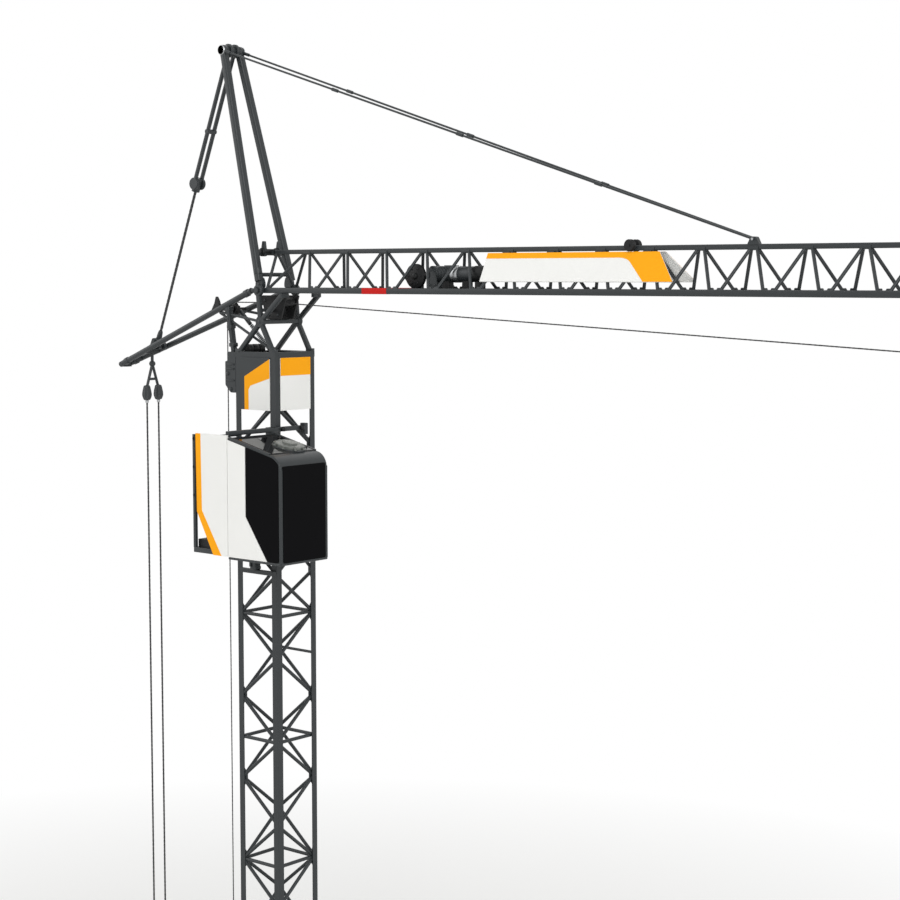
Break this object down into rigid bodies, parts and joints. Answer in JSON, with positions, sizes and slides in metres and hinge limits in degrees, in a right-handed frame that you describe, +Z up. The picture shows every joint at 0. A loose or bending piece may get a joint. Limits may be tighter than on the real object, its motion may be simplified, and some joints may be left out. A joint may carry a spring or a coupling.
{
  "type": "scale model tower crane",
  "caption": "Display model of a fast-erecting tower crane: lattice tower, raised cab, triangular lattice jib, leaning mast frame, rear strut and ballasted turntable.",
  "frame": {"origin": "on the ground, on the slewing axis, in the flat underside of the cross-shaped base", "axes": "+X along the jib towards its tip, +Y to the left when looking along the jib, so that the cab hangs on the -Y side, +Z up"},
  "size_m": [0.4557, 0.1128, 0.4588],
  "materials": {
    "dark_paint": "satin dark grey paint on die-cast metal",
    "white_panel": "white printed panel",
    "black_window": "gloss black window print",
    "black_plastic": "black moulded plastic",
    "rope_thread": "dark thread",
    "ballast_grey": "mid grey cast weight",
    "cab_plastic": "satin dark grey plastic"
  },
  "bodies": {
    "undercarriage": {"base_cross": "dark_paint"},
    "superstructure": {"slewing_ring": "dark_paint", "slewing_platform": "dark_paint", "ballast_slabs": "ballast_grey", "hoist_winch": "dark_paint", "tower_left_side": "dark_paint", "tower_right_side": "dark_paint", "tower_front_lacing": "dark_paint", "tower_rear_lacing": "dark_paint", "tower_top_ring": "dark_paint", "tower_head": "dark_paint", "pivot_pin": "dark_paint", "head_ties": "dark_paint", "head_sheave": "black_plastic", "tower_sign_panels": "white_panel", "gear_box": "dark_paint", "rear_strut": "dark_paint", "knee_sheave": "black_plastic", "strut_links": "dark_paint", "strut_yoke": "dark_paint", "rear_guys": "rope_thread", "hoist_rope_rear": "rope_thread"},
    "cab": {"cab_body": "cab_plastic", "cab_windows": "black_window", "cab_side_panel": "white_panel", "cab_roof_hatch": "cab_plastic", "cab_platform": "cab_plastic", "cab_rear_rail": "cab_plastic", "cab_rear_panel": "white_panel", "cab_guide_upper": "dark_paint", "cab_guide_lower": "dark_paint"},
    "jib": {"jib_left_side": "dark_paint", "jib_right_side": "dark_paint", "jib_top_chord": "dark_paint", "jib_bottom_lacing": "dark_paint", "jib_end_shaft": "dark_paint", "jib_tip": "dark_paint", "mast_pole_left": "dark_paint", "mast_pole_right": "dark_paint", "mast_cross_bars": "dark_paint", "fore_stays": "dark_paint", "winch_frame": "dark_paint", "winch_drum": "black_plastic", "winch_motor": "dark_paint", "jib_boards": "white_panel", "jib_top_sheaves": "black_plastic", "hoist_rope": "rope_thread", "trolley": "dark_paint", "hook_block": "dark_paint"},
    "guy_rods": {"guy_rods": "dark_paint"},
    "luffing_rope": {"luffing_rope": "rope_thread", "rope_anchor": "dark_paint"}
  },
  "joints": [
    {"name": "slew", "type": "hinge", "parent": "undercarriage", "child": "superstructure", "pos_m": [0, 0, 0.015], "axis": [0, 0, 1], "continuous": true},
    {"name": "cab_lift", "type": "slide", "parent": "superstructure", "child": "cab", "axis": [0, 0, 1], "range_m": [-0.2, 0]},
    {"name": "jib_luff", "type": "hinge", "parent": "superstructure", "child": "jib", "pos_m": [0.0215, 0, 0.36], "axis": [0, -1, 0], "range_deg": [0, 30], "deforming": ["luffing_rope"]},
    {"name": "guy_swing", "type": "hinge", "parent": "jib", "child": "guy_rods", "pos_m": [-0.0034, 0, 0.456], "axis": [0, -1, 0], "range_deg": [-9.8, 0]},
    {"name": "rope_swing", "type": "hinge", "parent": "superstructure", "child": "luffing_rope", "pos_m": [-0.05, 0, 0.33802], "axis": [0, -1, 0], "range_deg": [0, 20.6]}
  ],
  "couplings": [
    {"joint": "guy_swing", "follows": "jib_luff", "ratio": -0.3217},
    {"joint": "rope_swing", "follows": "jib_luff", "ratio": 0.6783}
  ]
}
